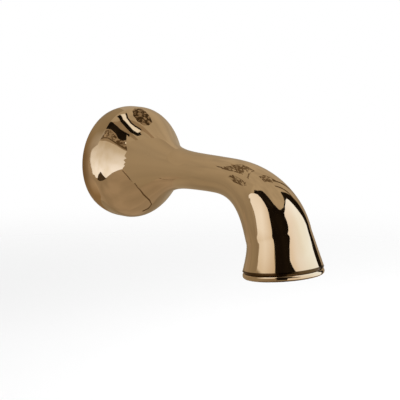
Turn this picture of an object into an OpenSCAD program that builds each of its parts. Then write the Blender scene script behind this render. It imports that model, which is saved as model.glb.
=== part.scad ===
// Wall spout: a hollow bronze casting with a round flange, a flared root, a tapering
// barrel, an eased bend and a bell-shaped mouth that ends in a turned bead.
// Millimetres. The wall is the plane y = 0, the spout reaches toward -Y and +Z is up.
// The origin is the centre of the flange's back face.

/* [Flange] */
// Widest diameter of the flange
flange_d = 70; // [66:1:84]
// Distance from the wall to where the rim reaches its full width
rim_crown = 7.8; // [6:0.1:9]
// Width of the rim's plain band, which the grub screw runs through
rim_band = 5.6; // [5.2:0.1:8]
// How much the rim's radius falls in toward the wall
rim_back_drop = 1.7; // [0.5:0.1:3]
// Length over which the flare sweeps down into the barrel
flare_length = 22.7; // [20:0.1:26]
// Fullness of the flare, where a larger number holds the rim's width for longer
flare_power = 2.08; // [1.7:0.01:2.6]

/* [Barrel and bend] */
// Straight reach of the centre line, from the wall to the nominal start of the bend
barrel_reach = 89.6; // [84:0.1:140]
// Radius of the bend's centre line
bend_r = 43.4; // [40:0.1:60]
// Angle that the whole bend turns through
bend_angle = 84.2; // [75:0.1:92]
// Length over which the curvature of the bend builds up, and dies away again
bend_ease = 38.6; // [24:0.2:44]
// Length of the centre line after the bend, down to the groove over the bead
mouth_drop = 9.5; // [8:0.1:20]
// Diameter of the barrel at its waist
waist_d = 22; // [20:0.1:26]
// Distance along the centre line from the wall to the waist
waist_at = 80.3; // [70:0.1:84]
// Extra radius that the barrel's taper would have at the wall
root_gain = 2.5; // [0:0.1:4]

/* [Bell and mouth] */
// Diameter of the bell's shoulder, where the bend has swollen to its full width
bell_d = 38.5; // [38:0.1:44]
// Distance along the centre line at which the swelling begins
swell_start = 83.7; // [74:0.1:90]
// Distance along the centre line at which the swelling ends
swell_end = 143.8; // [130:0.2:150]
// Length of the final flare above the groove
bell_flare = 18.4; // [14:0.2:28]
// Fullness of the final flare, where a larger number keeps it closer to the mouth
bell_power = 1.28; // [1.2:0.02:2.4]
// Diameter of the bell at the groove
mouth_d = 47.2; // [45:0.1:52]
// Height of the turned bead round the mouth
bead_h = 4.1; // [3:0.1:6]
// How far the bead stands proud of the bell
bead_proud = 0.1; // [0:0.1:1]
// Height of the groove over the bead
groove_h = 0.7; // [0.4:0.1:1.2]
// Depth of the groove over the bead
groove_depth = 0.8; // [0.4:0.1:1.2]

/* [Casting] */
// Wall thickness round the waterway
wall = 3.2; // [2.4:0.1:3.6]
// Width of the land between the flange's edge and its hollow back
rim_land = 5.4; // [5:0.1:7]
// Depth of the hollow in the flange's back, up to where it narrows
hollow_depth = 18; // [12:1:20]
// Length of the cone that closes the hollow
hollow_cone = 9; // [5:1:12]
// Wall thickness of the boss round the adapter's socket
boss_wall = 4; // [3:0.1:4.5]
// Gap between the wall and the end of the boss
boss_setback = 1; // [0.5:0.1:3]

/* [Pipe adapter] */
// Outside diameter of the adapter that the spout slides over
adapter_d = 26; // [25:0.1:28]
// Length of the adapter
adapter_len = 28; // [26:1:32]
// Gap between the wall and the adapter
adapter_setback = 0; // [0:0.1:2]
// Bore for the supply pipe's thread, the minor diameter of a half-inch pipe thread
thread_d = 18.631; // [18:0.001:19]
// Length of that thread
thread_len = 14; // [11:0.5:15]
// Passage for the water through the adapter
passage_d = 12; // [9:0.5:14]
// Width across the flats of the key socket in the adapter's front end
key_af = 14; // [13.9:0.1:15.5]
// Depth of the key socket
key_depth = 7; // [4:0.5:8]
// Radial clearance between the adapter and its socket in the body
slide_clear = 0.1; // [0.05:0.01:0.2]
// Gap between the adapter's front end and the bottom of its socket
socket_gap = 2; // [1:0.5:4]

/* [Seals and screw] */
// Width of an O-ring groove in the adapter
o_ring_groove_w = 2.4; // [2.1:0.1:3]
// Depth of an O-ring groove
o_ring_groove_depth = 1.5; // [1.2:0.1:1.8]
// Spacing of the two O-ring grooves
o_ring_pitch = 4.6; // [4:0.1:5]
// Distance from the adapter's front end to the middle of the first O-ring
o_ring_first = 3; // [2.5:0.1:3.5]
// Gap left between a seal and what it bears on
seal_clear = 0.02; // [0.01:0.01:0.05]
// Thickness of the rubber ring between the flange and the wall
gasket_t = 2; // [1:0.1:3]
// Radial width of that ring
gasket_w = 2.2; // [1.5:0.1:2.6]
// Lip left between the ring's groove and the flange's edge
gasket_lip = 1.2; // [1:0.1:1.4]
// Thread diameter of the grub screw
screw_d = 5; // [4:0.5:5]
// Length of the grub screw
screw_len = 10; // [8:1:12]
// Diameter of the pillar that the grub screw runs through
pillar_d = 12; // [10:0.5:14]
// Depth of the grub screw's groove in the adapter
lock_groove_depth = 1; // [0.6:0.1:1.2]
// Extra width of that groove over the screw
lock_groove_play = 1; // [0.4:0.1:1.6]
// Width across the flats of the grub screw's socket
screw_key_af = 2.5; // [2:0.1:2.6]

/* [Outlet] */
// Diameter of the seat bored up into the mouth
seat_d = 35; // [33:0.1:35.4]
// Depth of the seat above the groove
seat_depth = 13; // [11:0.5:14]
// Width of the shoulder at the top of the seat
seat_shoulder = 2.4; // [2:0.1:3]
// Diameter of the opening in the bead's lower face
lip_d = 41; // [38:0.1:42]
// Thickness of the rubber washer under the shoulder
washer_t = 2; // [1:0.1:3]
// Thickness of the straightener's rim
rim_t = 2.5; // [2:0.1:3]
// Total height of the flow straightener
straightener_h = 6; // [5:0.1:7]
// Number of rings of cells round the straightener's middle cell
cell_rings = 3; // [2:1:3]
// Width across the flats of one cell
cell_af = 3.2; // [2.6:0.1:3.3]
// Thickness of the web between cells
cell_web = 0.8; // [0.7:0.1:0.9]
// Height of the threaded collar
collar_h = 4; // [3:0.1:4.5]
// Radial clearance round the outlet pieces
outlet_clear = 0.1; // [0.05:0.05:0.2]
// Width of the collar's two key slots
key_slot_w = 3; // [2:0.5:4]
// Depth of those slots
key_slot_depth = 1.6; // [1:0.1:2]

/* [Hidden] */
bronze = [0.58, 0.43, 0.27];
brass = [0.80, 0.66, 0.36];
steel = [0.62, 0.62, 0.63];
rubber = [0.12, 0.12, 0.12];
plastic = [0.88, 0.88, 0.85];

// Facets round turned features, and steps along the rim and the flare
$fn = 96;
rim_steps = 6;
flare_steps = 26;
// Facets round the bend, and steps along its outside and its duct
bend_sides = 48;
bend_rings = 34;
duct_rings = 14;
// Spacing of the worked-out points of the centre line
path_step = 0.5;
// Overrun of a cut past the face that it opens
over = 1;
// The swept bend starts this much inside the turned barrel's wall
joint_step = 0.02;

flange_r = flange_d / 2;
flange_back_r = flange_r - rim_back_drop;
flare_start = rim_crown + rim_band;
waist_r = waist_d / 2;
bell_r = bell_d / 2;
mouth_r = mouth_d / 2;

// Lengths along the centre line
arc_length = bend_r * bend_angle * PI / 180;
spout_length = barrel_reach + arc_length + mouth_drop;
bend_start = barrel_reach - bend_ease / 2;
bend_end = bend_start + arc_length;

// Adapter, its socket and the grub screw
adapter_r = adapter_d / 2;
adapter_end = adapter_setback + adapter_len;
socket_r = adapter_r + slide_clear;
socket_end = adapter_end + socket_gap;
boss_r = socket_r + boss_wall;
hollow_r = flange_back_r - rim_land;
bore_r = waist_r - wall;
o_ring_groove_r = adapter_r - o_ring_groove_depth;
lock_groove_r = adapter_r - lock_groove_depth;
lock_groove_w = screw_d + lock_groove_play;
screw_tip = lock_groove_r + seal_clear;
screw_at = rim_crown + rim_band / 2;

// Wall gasket
gasket_out_r = flange_back_r - gasket_lip;
gasket_in_r = gasket_out_r - gasket_w;

// Outlet pieces, measured up from the groove plane
seat_r = seat_d / 2;
throat_r = seat_r - seat_shoulder;
insert_r = seat_r - outlet_clear;
washer_bottom = seat_depth - washer_t;
rim_bottom = washer_bottom - rim_t;
collar_bottom = rim_bottom - collar_h;
cell_pitch = cell_af + cell_web;
grid_r = throat_r - 2 * outlet_clear;

// A smooth step from 0 to 1
function soft_step(u) = let (v = min(max(u, 0), 1)) v * v * (3 - 2 * v);

// The area under that step, which turns an eased curvature into an angle
function soft_area(u) = u <= 0 ? 0 : u >= 1 ? u - 0.5 : pow(u, 3) - pow(u, 4) / 2;

// Downward lean of the centre line, in degrees, at the length s
function lean(s) = 180 / PI * bend_ease / bend_r
    * (soft_area((s - bend_start) / bend_ease) - soft_area((s - bend_end) / bend_ease));

// The centre line, stepped out with the lean at the middle of each step
path = [for (s = 0, y = 0, z = 0;
             s <= spout_length + path_step;
             y = y - path_step * cos(lean(s + path_step / 2)),
             z = z - path_step * sin(lean(s + path_step / 2)),
             s = s + path_step) [s, y, z]];
path_y = [for (p = path) [p[0], p[1]]];
path_z = [for (p = path) [p[0], p[2]]];
mouth_lean = lean(spout_length);

// Radius of the barrel's own taper at the length s
function taper_r(s) = waist_r + root_gain * pow(max(1 - s / waist_at, 0), 1.5);

// Radius of the barrel, the bend and the bell, without the flare at the wall
function barrel_r(s) =
    let (from_groove = max(s - spout_length + bell_flare, 0) / bell_flare)
    taper_r(s)
    + (bell_r - waist_r) * soft_step((s - swell_start) / (swell_end - swell_start))
    + (mouth_r - bell_r) * pow(min(from_groove, 1), bell_power);

// Radius of the rim, drawn in toward the wall
function rim_r(s) = flange_r - rim_back_drop * pow(max(1 - s / rim_crown, 0), 2);

// Outer radius of the body at the length s, where the flare dies away like a bell curve
function body_r(s) = s <= flare_start ? rim_r(s)
    : barrel_r(s) + (flange_r - barrel_r(flare_start))
        * exp(-pow((s - flare_start) / flare_length, flare_power));

// Radius of the waterway through the bend and the bell
function duct_r(s) = min(bore_r + body_r(s) - body_r(bend_start), throat_r);

// A round section is [y, z, lean, radius], on the centre line at the length s
function path_section(s, r) = [lookup(s, path_y), lookup(s, path_z), lean(s), r];

// The same on the mouth's own straight axis, at a height above the groove
function mouth_section(h, r) = [
    lookup(spout_length, path_y) + h * cos(mouth_lean),
    lookup(spout_length, path_z) + h * sin(mouth_lean),
    mouth_lean, r];

// Turned shapes lie along the spout's axis, which points to -Y
module along_axis() {
    rotate([90, 0, 0]) children();
}

// Places a shape in the mouth, with its z = 0 in the plane of the groove
module at_mouth() {
    translate([0, lookup(spout_length, path_y), lookup(spout_length, path_z)])
        rotate([mouth_lean - 90, 0, 0])
            children();
}

// A ring between two radii, standing on z = 0
module ring(outer_r, inner_r, height) {
    difference() {
        cylinder(h = height, r = outer_r);
        translate([0, 0, -over]) cylinder(h = height + 2 * over, r = inner_r);
    }
}

// A hollow round solid through a closed loop of sections
module swept_loop(sections) {
    count = len(sections);
    points = [for (q = sections, k = [0:bend_sides - 1])
        let (t = 360 * (k + 0.5) / bend_sides)
        [q[3] * sin(t), q[0] - q[3] * sin(q[2]) * cos(t), q[1] + q[3] * cos(q[2]) * cos(t)]];
    faces = [for (i = [0:count - 1], k = [0:bend_sides - 1])
        let (a = i * bend_sides + k,
             b = i * bend_sides + (k + 1) % bend_sides,
             c = (i + 1) % count * bend_sides + (k + 1) % bend_sides,
             d = (i + 1) % count * bend_sides + k)
        each [[a, c, d], [a, b, c]]];
    polyhedron(points = points, faces = faces, convexity = 8);
}

// Flange, flare and straight barrel, turned as one profile of [radius, distance from the wall]
module turned_root() {
    rim_points = [for (i = [0:rim_steps]) let (s = rim_crown * i / rim_steps) [rim_r(s), s]];
    flare_points = [for (i = [0:flare_steps])
        let (s = flare_start + (bend_start - flare_start) * i / flare_steps)
        [body_r(s), s]];
    socket_points = [
        [bore_r, bend_start], [bore_r, socket_end],
        [socket_r, socket_end], [socket_r, boss_setback],
        [boss_r, boss_setback], [boss_r, hollow_depth + hollow_cone],
        [hollow_r, hollow_depth], [hollow_r, 0]];
    gasket_points = [
        [gasket_in_r, 0], [gasket_in_r, gasket_t],
        [gasket_out_r, gasket_t], [gasket_out_r, 0]];
    along_axis() rotate_extrude()
        polygon(concat(socket_points, gasket_points, rim_points, flare_points));
}

// Pillar that carries the grub screw from the boss to the rim
module screw_pillar() {
    translate([0, -screw_at, -flange_r + rim_land / 2])
        cylinder(h = flange_r - rim_land / 2 - socket_r - boss_wall / 2, d = pillar_d);
}

// Drilling for the grub screw, from under the rim into the socket
module screw_hole() {
    translate([0, -screw_at, -flange_r - over])
        cylinder(h = flange_r + over - socket_r / 2, d = screw_d);
}

// Bend and bell: the outside, the groove and bead, the seat in the mouth and the duct back up
module swept_bell() {
    bell_length = spout_length - bend_start;
    outside = [for (i = [0:bend_rings])
        let (s = bend_start + bell_length * i / bend_rings)
        path_section(s, body_r(s) - (i == 0 ? joint_step : 0))];
    bead_half = (bead_h - groove_h) / 2;
    bead = [for (a = [70:-20:-90])
        mouth_section(-groove_h - bead_half * (1 - sin(a)),
                      mouth_r + bead_proud - bead_half * 0.8 * (1 - cos(a)))];
    groove = [mouth_section(0, mouth_r - groove_depth),
              mouth_section(-groove_h, mouth_r - groove_depth)];
    seat = [mouth_section(-bead_h, lip_d / 2), mouth_section(0, seat_r),
            mouth_section(seat_depth, seat_r), mouth_section(seat_depth, throat_r)];
    duct_length = bell_length - seat_depth - over;
    duct = [for (i = [duct_rings:-1:0])
        let (s = bend_start + duct_length * i / duct_rings)
        path_section(s, duct_r(s) + (i == 0 ? joint_step : 0))];
    swept_loop(concat(outside, groove, bead, seat, duct));
}

module spout_body() {
    color(bronze) union() {
        difference() {
            union() {
                turned_root();
                screw_pillar();
            }
            screw_hole();
        }
        swept_bell();
    }
}

// Rubber ring that seals the flange to the wall
module wall_gasket() {
    color(rubber) along_axis() ring(gasket_out_r - seal_clear, gasket_in_r + seal_clear, gasket_t);
}

// Brass bush on the supply pipe, with grooves for the O-rings and the grub screw
module pipe_adapter() {
    color(brass) along_axis() translate([0, 0, adapter_setback]) difference() {
        cylinder(h = adapter_len, r = adapter_r);
        translate([0, 0, -over]) cylinder(h = thread_len + over, d = thread_d);
        cylinder(h = adapter_len + over, d = passage_d);
        translate([0, 0, adapter_len - key_depth])
            cylinder(h = key_depth + over, d = key_af / cos(30), $fn = 6);
        for (i = [0, 1])
            translate([0, 0, adapter_len - o_ring_first - i * o_ring_pitch - o_ring_groove_w / 2])
                ring(adapter_r + over, o_ring_groove_r, o_ring_groove_w);
        translate([0, 0, screw_at - adapter_setback - lock_groove_w / 2])
            ring(adapter_r + over, lock_groove_r, lock_groove_w);
    }
}

// The two O-rings, pressed between the adapter's grooves and the socket
module adapter_o_rings() {
    section_r = (socket_r - o_ring_groove_r) / 2 - seal_clear;
    color(rubber) along_axis() for (i = [0, 1])
        translate([0, 0, adapter_end - o_ring_first - i * o_ring_pitch])
            rotate_extrude()
                translate([(socket_r + o_ring_groove_r) / 2, 0]) circle(r = section_r, $fn = 32);
}

// Grub screw, driven up through the pillar into the adapter's groove
module grub_screw() {
    color(steel) translate([0, -screw_at, -screw_tip - screw_len]) difference() {
        cylinder(h = screw_len, d = screw_d - 2 * seal_clear);
        translate([0, 0, -over])
            cylinder(h = screw_len / 3 + over, d = screw_key_af / cos(30), $fn = 6);
    }
}

// Rubber washer under the shoulder of the seat
module outlet_washer() {
    color(rubber) at_mouth() translate([0, 0, washer_bottom]) ring(insert_r, throat_r, washer_t);
}

// One hexagonal cell of the straightener, placed by its row and column
module cell(column, row) {
    translate([cell_pitch * (column + row / 2), cell_pitch * row * cos(30)])
        rotate(30) circle(d = cell_af / cos(30), $fn = 6);
}

// Moulded disc of hexagonal cells, hung by its rim
module flow_straightener() {
    color(plastic) at_mouth() translate([0, 0, washer_bottom]) {
        translate([0, 0, -rim_t]) ring(insert_r, grid_r - outlet_clear, rim_t);
        translate([0, 0, -straightener_h]) linear_extrude(straightener_h) difference() {
            circle(r = grid_r);
            for (column = [-cell_rings:cell_rings], row = [-cell_rings:cell_rings])
                if (abs(column + row) <= cell_rings) cell(column, row);
        }
    }
}

// Threaded brass collar that holds the straightener, with two slots for a key
module outlet_collar() {
    color(brass) at_mouth() translate([0, 0, collar_bottom]) difference() {
        ring(insert_r, throat_r, collar_h);
        translate([-seat_r, -key_slot_w / 2, -over])
            cube([seat_d, key_slot_w, key_slot_depth + over]);
    }
}

spout_body();
wall_gasket();
pipe_adapter();
adapter_o_rings();
grub_screw();
outlet_washer();
flow_straightener();
outlet_collar();
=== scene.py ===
import math

import bmesh
import bpy
import numpy as np
from mathutils import Matrix, Vector


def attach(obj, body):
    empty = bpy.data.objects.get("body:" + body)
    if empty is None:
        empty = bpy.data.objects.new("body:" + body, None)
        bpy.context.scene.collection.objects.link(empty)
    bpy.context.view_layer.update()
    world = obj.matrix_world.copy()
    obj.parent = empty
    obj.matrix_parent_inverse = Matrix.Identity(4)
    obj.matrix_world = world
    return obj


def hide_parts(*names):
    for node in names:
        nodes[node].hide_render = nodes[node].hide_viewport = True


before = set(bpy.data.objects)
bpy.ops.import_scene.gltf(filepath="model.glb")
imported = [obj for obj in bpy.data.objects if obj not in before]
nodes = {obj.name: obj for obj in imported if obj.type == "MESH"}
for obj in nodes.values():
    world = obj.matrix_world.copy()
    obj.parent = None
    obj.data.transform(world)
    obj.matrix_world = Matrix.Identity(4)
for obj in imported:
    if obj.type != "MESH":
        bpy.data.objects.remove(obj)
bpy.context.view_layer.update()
scene = bpy.context.scene
mm = 0.001


# the view in the photograph: degrees and millimetres, and metres for the clipping
camera = {
    "azimuth": -48.0, "elevation": 10.168, "roll": 0.506,
    "target": (0, -80.77, -16.15), "distance": 753.8,
    "lens": 113.09, "sensor": 36, "shiftX": -0.0363, "shiftY": 0.001,
    "clipStart": 0.01, "clipEnd": 50,
}


def makeCamera(c):
    az, el, roll = (math.radians(c[k]) for k in ("azimuth", "elevation", "roll"))
    back = Vector((math.sin(az) * math.cos(el), -math.cos(az) * math.cos(el), math.sin(el)))
    right = Vector((math.cos(az), math.sin(az), 0))
    up = back.cross(right)
    turnedRight = right * math.cos(roll) + up * math.sin(roll)
    turnedUp = up * math.cos(roll) - right * math.sin(roll)
    place = (Vector(c["target"]) + back * c["distance"]) * mm
    data = bpy.data.cameras.new("camera")
    data.lens = c["lens"]
    data.sensor_width = c["sensor"]
    data.shift_x, data.shift_y = c["shiftX"], c["shiftY"]
    data.clip_start, data.clip_end = c["clipStart"], c["clipEnd"]
    cam = bpy.data.objects.new("camera", data)
    scene.collection.objects.link(cam)
    cam.matrix_world = Matrix((
        (turnedRight.x, turnedUp.x, back.x, place.x),
        (turnedRight.y, turnedUp.y, back.y, place.y),
        (turnedRight.z, turnedUp.z, back.z, place.z),
        (0, 0, 0, 1)))
    scene.camera = cam


makeCamera(camera)
print("camera set")


# the sizes of the body, as in the CAD source, in millimetres and degrees
body = {
    "flangeR": 35, "rimCrown": 7.8, "rimBand": 5.6, "rimDrop": 1.7,
    "flareLength": 22.7, "flarePower": 2.08,
    "barrelReach": 89.6, "bendR": 43.4, "bendAngle": 84.2, "bendEase": 38.6,
    "mouthDrop": 9.5, "waistR": 11, "waistAt": 80.3, "rootGain": 2.5,
    "bellR": 19.25, "swellStart": 83.7, "swellEnd": 143.8,
    "bellFlare": 18.4, "bellPower": 1.28, "mouthR": 23.6,
    "beadH": 4.1, "beadProud": 0.1, "grooveH": 0.7, "grooveDepth": 0.8,
    "wall": 3.2, "rimLand": 5.4, "hollowDepth": 18, "hollowCone": 9,
    "bossR": 17.1, "bossSetback": 1, "socketR": 13.1, "socketEnd": 30,
    "gasketLip": 1.2, "gasketW": 2.2, "gasketT": 2,
    "screwD": 5, "screwAt": 10.6, "pillarD": 12,
    "seatR": 17.5, "seatDepth": 13, "seatShoulder": 2.4, "lipR": 20.5,
    "sides": 160, "edgeRound": 0.35,
    # the rings of the mesh: where a stretch starts or ends, and how many rings it has
    "firstRing": 0.4, "rimRings": 26, "denseLength": 30, "flareRings": 60,
    "barrelRings": 190, "lipLength": 4, "lipEnd": 0.3, "lipRings": 14,
    "lipDraw": 0.05, "grooveRound": 0.22, "beadStart": 78, "beadRings": 30, "beadFlat": 0.8,
    "throatLength": 1, "ductRings": 50, "seatGap": 1.2, "rootGap": 2.0, "rootSteps": 3,
    # the painted shade round the groove: how many rings its dark band reaches past each side of
    # the groove
    "paintedShadeAbove": 4, "paintedShadeBelow": 2, "sharpAngle": 38,
    "toolSides": 64,
}
b = body
flareStart = b["rimCrown"] + b["rimBand"]
bendStart = b["barrelReach"] - b["bendEase"] / 2
arcLength = b["bendR"] * math.radians(b["bendAngle"])
bendEnd = bendStart + arcLength
spoutLength = b["barrelReach"] + arcLength + b["mouthDrop"]


# area under a smooth step, which eases the bend in and out
def softArea(u):
    v = np.clip(u, 0, 1)
    return v ** 3 - v ** 4 / 2 + np.maximum(u - 1, 0)


# downward lean of the centre line at the length s
def lean(s):
    return b["bendEase"] / b["bendR"] * (
        softArea((s - bendStart) / b["bendEase"]) - softArea((s - bendEnd) / b["bendEase"]))


# the centre line, stepped out with the lean at the middle of each short step
stepLength = 0.05
pathS = np.arange(0, spoutLength + 1, stepLength)
midLean = lean(pathS[:-1] + stepLength / 2)
pathY = np.concatenate([[0], -np.cumsum(np.cos(midLean)) * stepLength])
pathZ = np.concatenate([[0], -np.cumsum(np.sin(midLean)) * stepLength])
mouthLean = float(lean(np.array(spoutLength)))
mouthY = float(np.interp(spoutLength, pathS, pathY))
mouthZ = float(np.interp(spoutLength, pathS, pathZ))


# radius without the flare: taper of the barrel + swell of the bell + flare of the mouth
def barrelRadius(s):
    u = np.clip((s - b["swellStart"]) / (b["swellEnd"] - b["swellStart"]), 0, 1)
    nearMouth = np.clip((s - spoutLength + b["bellFlare"]) / b["bellFlare"], 0, 1)
    return (b["waistR"] + b["rootGain"] * np.maximum(1 - s / b["waistAt"], 0) ** 1.5
            + (b["bellR"] - b["waistR"]) * u * u * (3 - 2 * u)
            + (b["mouthR"] - b["bellR"]) * nearMouth ** b["bellPower"])


# the rim is drawn in toward the wall, and the flare dies away like a bell curve
def bodyRadius(s):
    rim = b["flangeR"] - b["rimDrop"] * np.maximum(1 - s / b["rimCrown"], 0) ** 2
    gain = b["flangeR"] - barrelRadius(np.array(flareStart))
    fade = np.exp(-(np.maximum(s - flareStart, 0) / b["flareLength"]) ** b["flarePower"])
    return np.where(s <= flareStart, rim, barrelRadius(s) + gain * fade)


# rings as rows of y, z, lean and radius, at lengths along the centre line
def alongPath(s, r):
    return np.column_stack([
        np.interp(s, pathS, pathY), np.interp(s, pathS, pathZ), lean(s), r])


# the same on the mouth's straight axis, at heights above the groove
def inMouth(h, r):
    return np.column_stack([
        mouthY + h * math.cos(mouthLean), mouthZ + h * math.sin(mouthLean),
        np.full(len(h), mouthLean), r])


# a line through the points, each corner turned by a small arc of its own radius
def roundedLine(points, radius, steps=4):
    p = np.array(points, float)
    out = [p[0]]
    for before, at, after in zip(p[:-2], p[1:-1], p[2:]):
        toBefore, toAfter = before - at, after - at
        reach = min(radius, 0.45 * np.linalg.norm(toBefore), 0.45 * np.linalg.norm(toAfter))
        a = at + toBefore / np.linalg.norm(toBefore) * reach
        c = at + toAfter / np.linalg.norm(toAfter) * reach
        u = np.linspace(0, 1, steps + 1)[:, None]
        out += list((1 - u) ** 2 * a + 2 * u * (1 - u) * at + u ** 2 * c)
    out.append(p[-1])
    return np.array(out)


# extra points on long straight runs, so that no face is a sliver
def filled(line, gap):
    out = [line[0]]
    for a, c in zip(line[:-1], line[1:]):
        n = max(1, int(math.ceil(np.linalg.norm(c - a) / gap)))
        out += [a + (c - a) * i / n for i in range(1, n + 1)]
    return np.array(out)


# a closed surface from rings: x = r sin t, and the ring's plane leans with the line
def meshFromRings(name, rings, sides):
    t = 2 * np.pi * (np.arange(sides) + 0.5) / sides
    y, z, tilt, r = (rings[:, i, None] for i in range(4))
    co = np.stack([
        r * np.sin(t), y - r * np.sin(tilt) * np.cos(t), z + r * np.cos(tilt) * np.cos(t),
    ], axis=-1).reshape(-1, 3) * mm
    count = len(rings)
    i = np.arange(count)[:, None]
    k = np.arange(sides)[None, :]
    nextI, nextK = (i + 1) % count, (k + 1) % sides
    quads = np.stack([i * sides + k, nextI * sides + k, nextI * sides + nextK,
                      i * sides + nextK], axis=-1).reshape(-1, 4)
    mesh = bpy.data.meshes.new(name)
    mesh.vertices.add(len(co))
    mesh.vertices.foreach_set("co", co.ravel())
    mesh.loops.add(quads.size)
    mesh.loops.foreach_set("vertex_index", quads.ravel().astype(np.int32))
    mesh.polygons.add(len(quads))
    mesh.polygons.foreach_set("loop_start", np.arange(0, quads.size, 4, dtype=np.int32))
    mesh.update(calc_edges=True)
    mesh.validate()
    return mesh


# rings along the outside, round the mouth and back through the inside to the wall, and the
# rings at which the finish changes
def bodyRings():
    denseEnd, lipStart = flareStart + b["denseLength"], spoutLength - b["lipLength"]
    outside = np.concatenate([
        np.linspace(b["firstRing"], flareStart, b["rimRings"])[:-1],
        np.linspace(flareStart, denseEnd, b["flareRings"])[:-1],
        np.linspace(denseEnd, lipStart, b["barrelRings"])[:-1],
        np.linspace(lipStart, spoutLength - b["lipEnd"], b["lipRings"])])
    shell = alongPath(outside, bodyRadius(outside))
    # the groove, then the bead as a flattened half round
    half = (b["beadH"] - b["grooveH"]) / 2
    grooveR = b["mouthR"] - b["grooveDepth"]
    edge = roundedLine([
        (b["lipEnd"], b["mouthR"] - b["lipDraw"]), (0, b["mouthR"]), (0, grooveR),
        (-b["grooveH"], grooveR)], b["grooveRound"])[1:]
    a = np.radians(np.linspace(b["beadStart"], -90, b["beadRings"]))
    bead = np.column_stack([
        -b["grooveH"] - half * (1 - np.sin(a)),
        b["mouthR"] + b["beadProud"] - half * b["beadFlat"] * (1 - np.cos(a))])
    # the seat inside the mouth
    throatR = b["seatR"] - b["seatShoulder"]
    seat = filled(roundedLine([
        bead[-1], (-b["beadH"], b["lipR"]), (0, b["seatR"]),
        (b["seatDepth"], b["seatR"]), (b["seatDepth"], throatR),
        (b["seatDepth"] + b["throatLength"], throatR)], b["edgeRound"]), b["seatGap"])[1:-1]
    mouthLine = np.vstack([edge, bead, seat])
    mouth = inMouth(mouthLine[:, 0], mouthLine[:, 1])
    # the waterway back up through the bend
    boreR = b["waistR"] - b["wall"]
    s = np.linspace(
        spoutLength - b["seatDepth"] - b["throatLength"], bendStart, b["ductRings"])
    swell = bodyRadius(s) - bodyRadius(np.array(bendStart))
    duct = alongPath(s, np.minimum(boreR + swell, throatR))
    # socket, boss, hollow and gasket groove, as points of length and radius
    backR = b["flangeR"] - b["rimDrop"]
    hollowR = backR - b["rimLand"]
    gasketOut = backR - b["gasketLip"]
    gasketIn = gasketOut - b["gasketW"]
    line = filled(roundedLine([
        (bendStart, boreR), (b["socketEnd"], boreR), (b["socketEnd"], b["socketR"]),
        (b["bossSetback"], b["socketR"]), (b["bossSetback"], b["bossR"]),
        (b["hollowDepth"] + b["hollowCone"], b["bossR"]), (b["hollowDepth"], hollowR),
        (0, hollowR), (0, gasketIn), (b["gasketT"], gasketIn), (b["gasketT"], gasketOut),
        (0, gasketOut), (0, backR),
        (b["firstRing"], float(bodyRadius(np.array(b["firstRing"]))))],
        b["edgeRound"], b["rootSteps"]), b["rootGap"])[1:-1]
    root = alongPath(line[:, 0], line[:, 1])
    # painted shade round the groove as a dark band, then polish on the bead, then bare casting
    beadRing = len(shell) + len(edge)
    bands = (len(shell) - b["paintedShadeAbove"], beadRing + b["paintedShadeBelow"], beadRing + len(bead))
    return np.vstack([shell, mouth, duct, root]), bands


# an upright cylinder where the grub screw goes, to join to the body or cut from it
def makeTool(name, radius, low, high):
    sides = b["toolSides"]
    t = 2 * np.pi * np.arange(sides) / sides
    ring = np.column_stack([radius * np.cos(t), -b["screwAt"] + radius * np.sin(t)])
    co = np.vstack([np.column_stack([ring, np.full(sides, z)]) for z in (low, high)]) * mm
    faces = [tuple(range(sides - 1, -1, -1)), tuple(range(sides, 2 * sides))]
    faces += [(k, (k + 1) % sides, sides + (k + 1) % sides, sides + k) for k in range(sides)]
    mesh = bpy.data.meshes.new(name)
    mesh.from_pydata(co.tolist(), [], faces)
    obj = bpy.data.objects.new(name, mesh)
    scene.collection.objects.link(obj)
    return obj


def addBoolean(obj, other, operation):
    m = obj.modifiers.new(other.name, "BOOLEAN")
    m.operation, m.solver, m.object = operation, "EXACT", other


def makeBody():
    rings, bands = bodyRings()
    mesh = meshFromRings("spout", rings, b["sides"])
    surfaces = (bronzePolished, bronzeCast, bronzePaintedShade)
    inTurn = (bronzePolished, bronzePaintedShade, bronzePolished, bronzeCast)
    for material in surfaces:
        mesh.materials.append(material)
    ringOf = np.arange(len(mesh.polygons)) // b["sides"]
    band = np.searchsorted(bands, ringOf, side="right")
    mesh.polygons.foreach_set(
        "material_index", np.array([surfaces.index(m) for m in inTurn], np.int32)[band])
    obj = bpy.data.objects.new("spout", mesh)
    scene.collection.objects.link(obj)
    # the pillar for the grub screw, and its drilling from under the rim
    pillar = makeTool("pillar", b["pillarD"] / 2, -b["flangeR"] + b["rimLand"] / 2,
                      -(b["socketR"] + b["bossR"]) / 2)
    drill = makeTool("drill", b["screwD"] / 2, -b["flangeR"] - 1, -b["socketR"] / 2)
    for tool in (pillar, drill):
        tool.data.materials.append(bronzeCast)
    addBoolean(obj, pillar, "UNION")
    addBoolean(obj, drill, "DIFFERENCE")
    depsgraph = bpy.context.evaluated_depsgraph_get()
    ready = bpy.data.meshes.new_from_object(obj.evaluated_get(depsgraph))
    obj.modifiers.clear()
    obj.data = ready
    for tool in (pillar, drill):
        bpy.data.objects.remove(tool)
    ready.polygons.foreach_set("use_smooth", np.ones(len(ready.polygons), bool))
    ready.set_sharp_from_angle(angle=math.radians(b["sharpAngle"]))
    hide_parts("spout_body")
    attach(obj, "root")
    return obj


def newMaterial(name):
    m = bpy.data.materials.new(name)
    m.use_nodes = True
    m.node_tree.nodes.clear()
    return m, m.node_tree.nodes, m.node_tree.links


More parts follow.
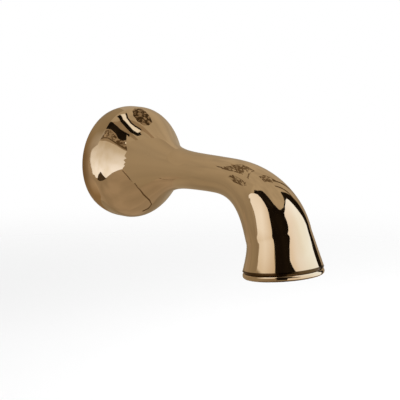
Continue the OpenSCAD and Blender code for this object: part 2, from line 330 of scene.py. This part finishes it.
def newGroup(name, inputs, outputs):
    g = bpy.data.node_groups.new(name, "ShaderNodeTree")
    for label, kind, value in inputs:
        s = g.interface.new_socket(label, in_out="INPUT", socket_type="NodeSocket" + kind)
        if value is not None:
            s.default_value = value
    for label, kind in outputs:
        g.interface.new_socket(label, in_out="OUTPUT", socket_type="NodeSocket" + kind)
    return g, g.nodes.new("NodeGroupInput"), g.nodes.new("NodeGroupOutput")


# links a socket to the value if that is a socket too, and sets it otherwise
def feed(links, value, socket):
    if isinstance(value, bpy.types.NodeSocket):
        links.new(value, socket)
    else:
        socket.default_value = value


def mathNode(n, links, operation, *values, clamp=False):
    node = n.new("ShaderNodeMath")
    node.operation, node.use_clamp = operation, clamp
    for i, value in enumerate(values):
        feed(links, value, node.inputs[i])
    return node.outputs[0]


def mixNode(n, links, factor, first, second, blend="MIX"):
    node = n.new("ShaderNodeMix")
    node.data_type, node.blend_type = "RGBA", blend
    for label, value in (("Factor", factor), ("A", first), ("B", second)):
        feed(links, value, node.inputs[label])
    return node.outputs["Result"]


def noiseNode(n, links, vector, scale, detail=2):
    node = n.new("ShaderNodeTexNoise")
    for label, value in (("Vector", vector), ("Scale", scale), ("Detail", detail)):
        feed(links, value, node.inputs[label])
    return node.outputs["Fac"]


def stretchNode(n, links, vector, stretch):
    node = n.new("ShaderNodeMapping")
    for label, value in (("Vector", vector), ("Scale", stretch)):
        feed(links, value, node.inputs[label])
    return node.outputs[0]


# a Principled shader with its bump, linked to the material's output
def finishSurface(n, links, bsdf, height, distance, strength=1.0):
    bump = n.new("ShaderNodeBump")
    for label, value in (("Strength", strength), ("Distance", distance), ("Height", height)):
        feed(links, value, bump.inputs[label])
    links.new(bump.outputs["Normal"], bsdf.inputs["Normal"])
    links.new(bsdf.outputs["BSDF"], n.new("ShaderNodeOutputMaterial").inputs["Surface"])


# haze and polishing marks: a slow mottle, and fine streaks that run along the casting
wear = {
    "mottleScale": 55, "mottleDetail": 3,
    "streakScale": 1400, "streakDetail": 2, "streakStretch": (1, 0.12, 1),
}


def makeWear(w):
    g, gin, gout = newGroup("polishMarks", [("Amount", "Float", 1.0)],
                            [("Mottle", "Float"), ("Streaks", "Float")])
    n, links = g.nodes, g.links
    place = n.new("ShaderNodeTexCoord").outputs["Object"]
    along = stretchNode(n, links, place, w["streakStretch"])
    mottle = noiseNode(n, links, place, w["mottleScale"], w["mottleDetail"])
    streaks = noiseNode(n, links, along, w["streakScale"], w["streakDetail"])
    for source, label in ((mottle, "Mottle"), (streaks, "Streaks")):
        centred = mathNode(n, links, "SUBTRACT", source, 0.5)
        scaled = mathNode(n, links, "MULTIPLY", centred, gin.outputs["Amount"])
        links.new(scaled, gout.inputs[label])
    return g


polishMarks = makeWear(wear)
coatRoughness = 0.04


# metal with a colour and roughness that wander a little, and a thin lacquer if coat is over 0;
# the bump is in metres
def makeMetal(name, colour, darker, roughness, spread, bump, coat=0.0):
    m, n, links = newMaterial(name)
    bsdf = n.new("ShaderNodeBsdfPrincipled")
    marks = n.new("ShaderNodeGroup")
    marks.node_tree = polishMarks
    mottle, streaks = marks.outputs["Mottle"], marks.outputs["Streaks"]
    factor = mathNode(n, links, "ADD", mottle, 0.5, clamp=True)
    tone = mixNode(n, links, factor, (*colour, 1), (*darker, 1))
    rough = mathNode(n, links, "MULTIPLY_ADD", mottle, spread, roughness)
    rough = mathNode(n, links, "MULTIPLY_ADD", streaks, spread, rough)
    for label, value in (("Base Color", tone), ("Roughness", rough), ("Metallic", 1),
                         ("Coat Weight", coat), ("Coat Roughness", coatRoughness)):
        feed(links, value, bsdf.inputs[label])
    finishSurface(n, links, bsdf, streaks, bump)
    return m


# the grain of rubber and moulded plastic: noise, how it changes the tone, and bump strength
dullGrain = {"scale": 900, "darkest": 0.85, "lightest": 1.12, "strength": 0.6}


def makeDull(name, colour, roughness, bump):
    m, n, links = newMaterial(name)
    bsdf = n.new("ShaderNodeBsdfPrincipled")
    place = n.new("ShaderNodeTexCoord").outputs["Object"]
    noise = noiseNode(n, links, place, dullGrain["scale"])
    ramp = n.new("ShaderNodeMapRange")
    ramp.inputs["To Min"].default_value = dullGrain["darkest"]
    ramp.inputs["To Max"].default_value = dullGrain["lightest"]
    links.new(noise, ramp.inputs["Value"])
    tone = n.new("ShaderNodeVectorMath")
    tone.operation = "SCALE"
    tone.inputs[0].default_value = colour
    links.new(ramp.outputs[0], tone.inputs["Scale"])
    links.new(tone.outputs[0], bsdf.inputs["Base Color"])
    bsdf.inputs["Roughness"].default_value = roughness
    finishSurface(n, links, bsdf, noise, bump, dullGrain["strength"])
    return m


bronzePolished = makeMetal(
    "bronzePolished", (0.82, 0.65, 0.44), (0.78, 0.61, 0.40),
    roughness=0.045, spread=0.03, bump=0.0000004, coat=0.12)
# painted shade: a dark, duller bronze band on the lip, the groove and the bead's top edge,
# standing in for the shade in the groove
bronzePaintedShade = makeMetal(
    "bronzePaintedShade", (0.13, 0.075, 0.03), (0.09, 0.052, 0.02),
    roughness=0.22, spread=0.1, bump=0.000002)
bronzeCast = makeMetal(
    "bronzeCast", (0.52, 0.37, 0.21), (0.42, 0.29, 0.16),
    roughness=0.42, spread=0.2, bump=0.00003)
brassMachined = makeMetal(
    "brassMachined", (0.80, 0.62, 0.30), (0.74, 0.56, 0.26),
    roughness=0.22, spread=0.1, bump=0.000004)
steelBrushed = makeMetal(
    "steelBrushed", (0.56, 0.56, 0.57), (0.48, 0.48, 0.49),
    roughness=0.28, spread=0.1, bump=0.000004)
rubberBlack = makeDull("rubberBlack", (0.02, 0.02, 0.021), roughness=0.6, bump=0.00002)
plasticWhite = makeDull("plasticWhite", (0.74, 0.73, 0.68), roughness=0.38, bump=0.000005)
print("materials made")

spout = makeBody()
print("body made, faces:", len(spout.data.polygons))

finishes = {
    "wall_gasket": rubberBlack, "pipe_adapter": brassMachined,
    "adapter_o_rings": rubberBlack, "grub_screw": steelBrushed,
    "outlet_washer": rubberBlack, "flow_straightener": plasticWhite,
    "outlet_collar": brassMachined,
}
for name, material in finishes.items():
    for place in nodes[name].material_slots:
        place.material = material
print("finishes given to the CAD pieces")


# a mottle of dark leaves: 1 in the marks, from two sizes of noise
leafGains = (1.0, 3.1)
leafContrast = 14.0


def makeLeaves():
    g, gin, gout = newGroup(
        "leafMarks", [("Vector", "Vector", None), ("Scale", "Float", 10.0),
                      ("Cover", "Float", 0.5)], [("Mask", "Float")])
    n, links = g.nodes, g.links
    masks = []
    for gain in leafGains:
        scale = mathNode(n, links, "MULTIPLY", gin.outputs["Scale"], gain)
        noise = noiseNode(n, links, gin.outputs["Vector"], scale)
        level = mathNode(n, links, "SUBTRACT", noise, gin.outputs["Cover"])
        masks.append(mathNode(n, links, "MULTIPLY", level, leafContrast, clamp=True))
    links.new(mathNode(n, links, "MULTIPLY", *masks), gout.inputs["Mask"])
    return g


leafMarks = makeLeaves()

# how coarse the mottle between a card's two colours is, and how sharp
farMottle, nearMottle = 6.0, 30.0
mottleContrast = 3.0
white = (1, 1, 1, 1)


# the glow of a card or of the tent, from its colour and second colour; leaves darken it, and a
# fade is an axis, where it starts and ends in millimetres, and what the colour is times by then
def makeGlow(name, tones, mottle):
    m, n, links = newMaterial(name)
    place = n.new("ShaderNodeTexCoord").outputs["Object"]
    noise = noiseNode(n, links, place, mottle)
    factor = mathNode(n, links, "MULTIPLY_ADD", noise, mottleContrast,
                      (1 - mottleContrast) / 2, clamp=True)
    colour = tones["colour"]
    shade = mixNode(n, links, factor, (*colour, 1), (*tones.get("second", colour), 1))
    leaves = tones.get("leaves")
    if leaves:
        marks = n.new("ShaderNodeGroup")
        marks.node_tree = leafMarks
        stretched = stretchNode(n, links, place, leaves["stretch"])
        for label, value in (("Vector", stretched), ("Scale", leaves["scale"]),
                             ("Cover", leaves["cover"])):
            feed(links, value, marks.inputs[label])
        shade = mixNode(n, links, marks.outputs["Mask"], shade, (*leaves["colour"], 1))
    axes = n.new("ShaderNodeSeparateXYZ")
    links.new(place, axes.inputs[0])
    for axis, start, end, gain in tones.get("fades", ()):
        ramp = n.new("ShaderNodeMapRange")
        for label, value in (("From Min", start * mm), ("From Max", end * mm),
                             ("Value", axes.outputs[axis])):
            feed(links, value, ramp.inputs[label])
        change = mixNode(n, links, ramp.outputs[0], white, (*gain, 1))
        shade = mixNode(n, links, 1, shade, change, "MULTIPLY")
    glow = n.new("ShaderNodeEmission")
    links.new(shade, glow.inputs["Color"])
    glow.inputs["Strength"].default_value = 1
    links.new(glow.outputs[0], n.new("ShaderNodeOutputMaterial").inputs["Surface"])
    return m


# a glowing piece of the stage that only reflections in the metal see
def addGlowing(name, mesh, tones, mottle, centre=(0, 0, 0)):
    mesh.materials.append(makeGlow(name + "Glow", tones, mottle))
    obj = bpy.data.objects.new(name, mesh)
    obj.location = Vector(centre) * mm
    scene.collection.objects.link(obj)
    obj.visible_camera = False
    obj.visible_diffuse = False
    obj.visible_transmission = False
    obj.visible_volume_scatter = False
    obj.visible_shadow = False


# directions from azimuths and elevations in radians, with azimuth 0 toward -Y
def directions(az, el):
    return np.stack([np.sin(az) * np.cos(el), -np.cos(az) * np.cos(el), np.sin(el)], axis=-1)


# quads over an array of directions times the radius, one row of points after another
def gridMesh(name, unit, radius):
    rows, columns = unit.shape[:2]
    i = np.arange(rows - 1)[:, None] * columns
    k = np.arange(columns - 1)[None, :]
    quads = np.stack([i + k, i + k + 1, i + k + columns + 1, i + k + columns], axis=-1)
    mesh = bpy.data.meshes.new(name)
    co = unit.reshape(-1, 3) * radius * mm
    mesh.from_pydata(co.tolist(), [], quads.reshape(-1, 4).tolist())
    return mesh


# the warm grey room round the spout, lighter toward its ceiling
roomGain = (1.65, 1.76, 2.0)
nearBlack = (0.006, 0.004, 0.003)
softBlack = (0.02, 0.014, 0.009)
roomTones = {
    "colour": (0.31, 0.24, 0.156), "second": (0.25, 0.193, 0.126),
    "fades": [("Z", -60, 60, roomGain)],
}
tent = {
    **roomTones, "fades": [("Z", -300, 300, roomGain)],
    "centre": (0, -134, -30), "radius": 450, "segments": (96, 48), "mottle": 7.0,
}


def makeTent(t):
    mesh = bpy.data.meshes.new("tent")
    shape = bmesh.new()
    bmesh.ops.create_uvsphere(shape, u_segments=t["segments"][0], v_segments=t["segments"][1],
                              radius=t["radius"] * mm)
    shape.to_mesh(mesh)
    shape.free()
    addGlowing("tent", mesh, t, t["mottle"], t["centre"])


# panels on spheres round the bell: dark ones just inside the tent, and two windows close by,
# as rows of elevation, first azimuth and last azimuth in degrees
panels = {
    "darkOpening": {
        "radius": 446, "colour": nearBlack, "second": (0.012, 0.008, 0.005),
        "rows": [(-30, -75, 91), (-3, -75, 90), (7, -75, 91.5), (19, -75, 89), (28, -85, 87),
                 (44, -112, 77), (51, -112, 71)],
    },
    "darkCapLeft": {
        "radius": 446, "colour": nearBlack, "second": softBlack,
        "rows": [(51, -112, -27), (57, -104, -44), (64, -95, -60), (67, -88, -78)],
    },
    "darkCapRight": {
        "radius": 446, "colour": (0.01, 0.007, 0.005), "second": softBlack,
        "rows": [(51, -18, 71), (53, 2, 69), (56, 30, 66), (58, 46, 63), (60, 53, 59)],
    },
    "leftWindow": {
        "radius": 50, "mottle": 14.0, "colour": (1.08, 1.10, 1.18), "second": (0.94, 0.90, 0.88),
        "fades": [("Z", 10, 40, (0.92, 0.88, 0.84)), ("Y", 6, -13, (0.76, 0.67, 0.56)),
                  ("Z", 8, -8, (0.86, 0.81, 0.74)), ("Z", -9.5, -11.5, (0.38, 0.33, 0.25))],
        "rows": [(-40, -131, -64), (-16, -131, -64), (-14, -116, -72), (-8, -116.5, -71.5),
                 (-6, -118, -71), (-3, -117, -71), (0, -114.5, -72), (4, -113.5, -73.5),
                 (9, -113.5, -72.8), (16, -114, -72), (21, -115, -73), (26, -117, -74),
                 (31, -121, -75.5), (36, -127, -77), (41, -128, -78.5), (46, -125, -82),
                 (51, -119, -91), (54, -112, -102)],
    },
    "rightWindow": {
        "radius": 50, "mottle": 14.0, "colour": (0.97, 0.95, 0.99), "second": (0.84, 0.77, 0.70),
        "fades": [("Z", -5, 40, (1.0, 0.93, 0.88)), ("X", -22, 20, (1.23, 1.53, 1.92)),
                  ("Z", 4, -10, (0.93, 0.87, 0.80))],
        "rows": [(-40, -42, 50), (-17, -42, 50), (-15, -14, 50), (-12, -14, 47), (-5, -17, 48),
                 (-2, -24, 49), (1, -29, 50), (5, -33.5, 54), (8, -33, 57), (12, -31, 59),
                 (16, -29, 59.5), (19, -26, 59), (22, -22.5, 58.5), (29, -20, 57),
                 (37, -20, 53.5), (45, -23, 50.5), (50, -21, 49), (56, -10, 47), (60, -4, 46),
                 (64, 12, 42), (66, 22, 38)],
    },
}


panelSteps = 24


# each row spans its azimuths in equal steps, and the rows are joined in order
def makePanel(name, p, centre):
    el, first, last = (np.radians(np.array(p["rows"], float)[:, i, None]) for i in range(3))
    az = first + (last - first) * np.linspace(0, 1, panelSteps + 1)[None, :]
    mesh = gridMesh(name, directions(az, np.broadcast_to(el, az.shape)), p["radius"])
    addGlowing(name, mesh, p, p.get("mottle", farMottle), centre)


# near strips on small spheres round the flange and round the bend, each between two edges that
# are given as azimuths and elevations in degrees; the larger radius lies behind
aroundFlange = (-20, -15, 10)
aroundBend = (-5, -112, 5)
flangeTones = {"colour": (0.395, 0.303, 0.212), "second": (0.31, 0.238, 0.162)}
daylight = {
    "colour": (1.14, 1.19, 1.36), "second": (1.0, 1.0, 1.02),
    "fades": [("Z", -24, 40, (0.56, 0.48, 0.37))],
}
flangeStrips = {
    "flangeShade": {
        "radius": 76, **flangeTones, "fades": [("Z", 25, 76, (0.9, 0.88, 0.86))],
        "from": [(-165, -40), (-120, -50), (-70, -48), (-36, -30), (-22, -5), (-12, 20), (0, 38)],
        "to": [(-175, 40), (-170, 62), (-150, 80), (60, 84), (48, 70), (45, 55), (30, 45)],
    },
    "flangeShadeLow": {
        "radius": 77, **flangeTones,
        "from": [(-165, -36), (-120, -46), (-70, -44), (-36, -26), (-22, -2)],
        "to": [(-175, -72), (150, -78), (90, -80), (60, -72), (45, -58)],
    },
    "flangeWindow": {
        "radius": 70, **daylight,
        "from": [(-137, 26), (-135, 31), (-110, 38), (-81, 40), (-52, 33), (-39, 23)],
        "to": [(-127, -22), (-113, -33), (-95, -33), (-74, -32), (-58, -22), (-47, -15)],
    },
    "flangeWindowSide": {
        "radius": 70.5, **daylight,
        "from": [(-141, 29), (-138, 24), (-134, 14), (-132, 1), (-131, -11), (-131, -19),
                 (-132, -26), (-127, -31)],
        "to": [(-110, 38), (-109, 30), (-99, 21), (-92, 7), (-89, -8), (-89, -18), (-90, -24),
               (-90, -31)],
    },
    "flangeNotch": {
        "radius": 69, "colour": (0.06, 0.04, 0.022),
        "from": [(-119, -35), (-108, -27), (-94, -21)],
        "to": [(-108, -38), (-92, -38), (-75, -34)],
    },
    "flangeThicket": {
        "radius": 58, **flangeTones,
        "leaves": {"stretch": (1, 1, 1), "scale": 90.0, "cover": 0.43,
                   "colour": (0.09, 0.055, 0.026)},
        "from": [(-139, 34), (-86, 46), (-48, 35), (-36, 27)],
        "to": [(-150, 44), (-102, 64), (-46, 46), (-22, 44)],
    },
    "flangeTwig": {
        "radius": 57, "colour": (0.10, 0.065, 0.032),
        "from": [(-136, 33), (-86, 46), (-48, 33), (-36, 24)],
        "to": [(-140, 34), (-85, 48), (-46, 36), (-34, 27)],
    },
    "flangeBandLow": {
        "radius": 56, "colour": nearBlack, "second": softBlack,
        "from": [(-151, 45), (-147, 53), (-105, 65), (-58, 58), (-46, 46), (-36, 43), (-25, 46)],
        "to": [(-156, 47), (-168, 53), (-176, 60), (-122, 77), (-39, 68), (-22, 60), (-14, 55)],
    },
    "flangeGlint": {
        "radius": 55, "colour": (0.9, 0.88, 0.85), "second": (0.80, 0.74, 0.64),
        "from": [(-35, 38), (-32, 36), (-29, 35)], "to": [(-33, 41), (-26, 43), (-25, 39)],
    },
    "flangeBandHigh": {
        "radius": 55, "colour": nearBlack, "second": softBlack,
        "from": [(159, 64), (-30, 86), (-10, 68), (-7, 58), (0, 53), (15, 54)],
        "to": [(144, 65), (61, 85), (11, 69), (7, 60), (11, 56), (20, 56)],
    },
    "flangeCream": {
        "radius": 54, "colour": (1.0, 1.0, 1.02), "second": (0.80, 0.74, 0.64),
        "from": [(144, 65), (60, 84), (11, 69), (7, 60), (11, 56), (20, 56)],
        "to": [(120, 69), (67, 78), (25, 69), (23, 62), (25, 58), (26, 56)],
    },
    "flangeCreamRim": {
        "radius": 53, "colour": (0.03, 0.02, 0.012),
        "from": [(120, 69), (67, 78), (25, 69), (23, 62), (25, 58), (26, 56)],
        "to": [(119, 65), (68, 75), (34, 68), (30, 62), (32, 57), (31, 55)],
    },
    "flangeLeaves": {
        "radius": 52, **flangeTones, "fades": [("Z", 15, 60, (0.78, 0.73, 0.66))],
        "leaves": {"stretch": (1, 1, 1), "scale": 95.0, "cover": 0.40,
                   "colour": (0.06, 0.038, 0.019)},
        "from": [(106, 58), (75, 66), (49, 61), (47, 54), (57, 47)],
        "to": [(111, 49), (103, 44), (86, 44), (76, 42), (68, 41)],
    },
    "flangeFold": {
        "radius": 45, "colour": (0.10, 0.062, 0.03),
        "from": [(-42.8, -21), (-32.6, -38.9), (-12.3, -54.3), (14.7, -59.5), (41, -57.2),
                 (53, -56.4), (58.9, -60.3), (61.6, -65.7)],
        "to": [(-43.3, -22.1), (-32.3, -40.8), (-12, -55), (15.7, -60.5), (41.9, -58.2),
               (52, -57.3), (56.4, -60.5), (58.6, -66)],
    },
}
bendLeaves = {
    "stretch": (1, 3, 2), "scale": 38.0, "cover": 0.37, "colour": (0.09, 0.058, 0.03),
}
bendStrips = {
    "leavesLeft": {
        "radius": 68, **roomTones, "leaves": bendLeaves,
        "from": [(-156, 29), (-152, 35), (-146, 49), (-122, 60)],
        "to": [(-163, 35), (-178, 47), (142, 48), (121, 65)],
    },
    "leavesRight": {
        "radius": 66, **roomTones, "leaves": bendLeaves,
        "from": [(113, 81), (20, 77), (60, 54)], "to": [(95, 65), (87, 47), (81, 35)],
    },
    "twigHigh": {
        "radius": 65, "colour": (0.10, 0.065, 0.034),
        "from": [(73, 49), (84, 23), (93, -1), (89, -10)],
        "to": [(70, 48), (80, 23), (88, -1), (85, -10)],
    },
    "twigLow": {
        "radius": 64, "colour": (0.10, 0.065, 0.034),
        "from": [(48, 53), (62, 33), (66, 19), (62, 6)],
        "to": [(45, 51), (58, 32), (61, 19), (58, 6)],
    },
    "leavesLow": {
        "radius": 31, **roomTones, "leaves": {**bendLeaves, "scale": 55.0, "cover": 0.40},
        "from": [(-144, 7), (-134, 3), (-110, 17)], "to": [(-142, 24), (-127, 31), (-106, 34)],
    },
}


# points spread evenly along an edge on the unit sphere
def alongEdge(edge, count):
    p = directions(*np.radians(np.array(edge, float)).T)
    at = np.concatenate([[0], np.cumsum(np.linalg.norm(np.diff(p, axis=0), axis=1))])
    even = np.linspace(0, at[-1], count)
    return np.column_stack([np.interp(even, at, p[:, i]) for i in range(3)])


stripSteps = {"along": 48, "across": 10}


def makeStrip(name, s, centre):
    first, last = (alongEdge(s[edge], stripSteps["along"] + 1)[None] for edge in ("from", "to"))
    u = np.linspace(0, 1, stripSteps["across"] + 1)[:, None, None]
    p = first * (1 - u) + last * u
    mesh = gridMesh(name, p / np.linalg.norm(p, axis=-1, keepdims=True), s["radius"])
    addGlowing(name, mesh, s, nearMottle, centre)


# sheets in one plane, as corner points in millimetres
def makeSheet(name, corners, tones):
    mesh = bpy.data.meshes.new(name)
    co = np.array(corners, float) * mm
    mesh.from_pydata(co.tolist(), [], [tuple(range(len(corners)))])
    addGlowing(name, mesh, tones, nearMottle)


# small upright card beside the barrel, as points of y and z, in the plane x
barrelCard = {
    "x": -32, **roomTones,
    "outline": [(-112, -70), (-54, -62), (-50, -54), (-42, -22), (-38, -10), (-35, -2), (-34, 0),
                (-36, 1.5), (-34, 3), (-35.5, 5), (-34, 7), (-36.5, 9), (-35, 11), (-38, 18),
                (-39, 31), (-46, 60), (-112, 60)],
}
# glowing sheets behind the keel and under the flange, in the tone of the flange's painted
# reflection, which darken what the flange's lower part reflects
flangeSheets = {
    "keelBack": [(-31, -49.5, -15.5), (-31, -49.5, -75), (90, -49.5, -75), (90, -49.5, -15.5)],
    "underFlange": [(-60, -49, -75), (40, -49, -75), (40, 8, -75), (-60, 8, -75)],
}
# sheets that keep the flange's strips out of sight of the bell and the barrel
baffles = {
    "wing": [(-32, -112, -70), (-50, -103, -70), (-50, -103, 60), (-32, -112, 60)],
    "lid": [(-27, -39, 30), (40, -39, 30), (40, -66, 30), (-40, -66, 30), (-40, -50, 30)],
    "keel": [(-31, -50, -15.5), (-31, -50, -75), (40, -50, -75), (40, -50, -15.5)],
    "crest": [(-24, -50, 95), (90, -50, 95), (90, -50, -15.5), (15, -50, -15.5), (15, -50, 0),
              (13.7, -50, 5), (10.3, -50, 10.3), (5, -50, 13.7), (0, -50, 14.6), (-5, -50, 13.7),
              (-10.3, -50, 10.3), (-24, -50, 10.3)],
}
# darker sheets, behind the flange's rim and under the mouth
shades = {
    "rimShade": {
        "colour": (0.24, 0.155, 0.075), "second": (0.17, 0.11, 0.055),
        "fades": [("X", -34, -47, (1.45, 1.65, 2.2)), ("Z", 8, 34, (1.4, 1.7, 2.3)),
                  ("Z", -8, -26, (1.45, 1.5, 1.6))],
        "corners": [(-48, 8, -36), (-10, 8, -42), (6, 8, 50), (-48, 8, 50)],
    },
    "mouthShade": {
        "colour": (0.03, 0.02, 0.012), "second": (0.10, 0.07, 0.04),
        "corners": [(-34, -110, -92), (34, -110, -92), (40, -140, -92), (34, -172, -92),
                    (-34, -172, -92), (-40, -140, -92)],
    },
}

makeTent(tent)
for name, panel in panels.items():
    makePanel(name, panel, tent["centre"])
for name, strip in flangeStrips.items():
    makeStrip(name, strip, aroundFlange)
for name, strip in bendStrips.items():
    makeStrip(name, strip, aroundBend)
makeSheet("barrelCard", [(barrelCard["x"], y, z) for y, z in barrelCard["outline"]], barrelCard)
for name, corners in flangeSheets.items():
    makeSheet(name, corners, flangeTones)
for name, corners in baffles.items():
    makeSheet(name, corners, roomTones)
for name, shade in shades.items():
    makeSheet(name, shade["corners"], shade)
print("room for the reflections made")


# a pale floor that fades into the white surroundings, and is clear from below
floor = {
    "centre": (0, -80, -250), "half": 1500, "clear": 500, "gone": 1300,
    "colour": (0.93, 0.93, 0.93),
}


def makeFloor(f):
    m, n, links = newMaterial("floorPale")
    matte = n.new("ShaderNodeBsdfDiffuse")
    matte.inputs["Color"].default_value = (*f["colour"], 1)
    length = n.new("ShaderNodeVectorMath")
    length.operation = "LENGTH"
    links.new(n.new("ShaderNodeTexCoord").outputs["Object"], length.inputs[0])
    fade = n.new("ShaderNodeMapRange")
    fade.interpolation_type = "SMOOTHSTEP"
    for label, value in (("From Min", f["clear"] * mm), ("From Max", f["gone"] * mm),
                         ("Value", length.outputs["Value"])):
        feed(links, value, fade.inputs[label])
    below = n.new("ShaderNodeNewGeometry").outputs["Backfacing"]
    mix = n.new("ShaderNodeMixShader")
    links.new(mathNode(n, links, "MAXIMUM", fade.outputs[0], below), mix.inputs[0])
    links.new(matte.outputs[0], mix.inputs[1])
    links.new(n.new("ShaderNodeBsdfTransparent").outputs[0], mix.inputs[2])
    links.new(mix.outputs[0], n.new("ShaderNodeOutputMaterial").inputs["Surface"])
    h = f["half"] * mm
    mesh = bpy.data.meshes.new("floor")
    mesh.from_pydata([(-h, -h, 0), (h, -h, 0), (h, h, 0), (-h, h, 0)], [], [(0, 1, 2, 3)])
    mesh.materials.append(m)
    obj = bpy.data.objects.new("floor", mesh)
    obj.location = Vector(f["centre"]) * mm
    scene.collection.objects.link(obj)
    obj.visible_glossy = False


makeFloor(floor)

# soft lamps for the dull pieces and the floor's shadow: place and size in metres, power in watts
lamps = {
    "keyLamp": {"place": (-0.5, -0.9, 1.1), "size": 0.9, "power": 17},
    "fillLamp": {"place": (0.9, -0.6, 0.5), "size": 0.9, "power": 9},
    "lowLamp": {"place": (0, -0.6, -0.2), "size": 0.6, "power": 2},
}
lampAim = (0, -0.08, 0)


def makeLamp(name, lamp):
    data = bpy.data.lights.new(name, "AREA")
    data.energy, data.size = lamp["power"], lamp["size"]
    obj = bpy.data.objects.new(name, data)
    obj.location = lamp["place"]
    aim = Vector(lampAim) - Vector(lamp["place"])
    obj.rotation_euler = aim.to_track_quat("-Z", "Y").to_euler()
    scene.collection.objects.link(obj)
    obj.visible_glossy = False


for name, lamp in lamps.items():
    makeLamp(name, lamp)
softLight = 0.55


# white behind the object for the camera and in reflections, and a soft grey light elsewhere
def makeWorld():
    world = bpy.data.worlds.new("studio")
    scene.world = world
    world.use_nodes = True
    n, links = world.node_tree.nodes, world.node_tree.links
    n.clear()
    path = n.new("ShaderNodeLightPath")
    bright = n.new("ShaderNodeBackground")
    bright.inputs["Color"].default_value = white
    soft = n.new("ShaderNodeBackground")
    soft.inputs["Color"].default_value = white
    soft.inputs["Strength"].default_value = softLight
    seen = mathNode(n, links, "ADD", path.outputs["Is Camera Ray"], path.outputs["Is Glossy Ray"])
    seen = mathNode(n, links, "ADD", seen, path.outputs["Is Transmission Ray"], clamp=True)
    mix = n.new("ShaderNodeMixShader")
    links.new(seen, mix.inputs[0])
    links.new(soft.outputs[0], mix.inputs[1])
    links.new(bright.outputs[0], mix.inputs[2])
    links.new(mix.outputs[0], n.new("ShaderNodeOutputWorld").inputs["Surface"])


makeWorld()
scene.view_settings.view_transform = "Standard"
print("studio set")
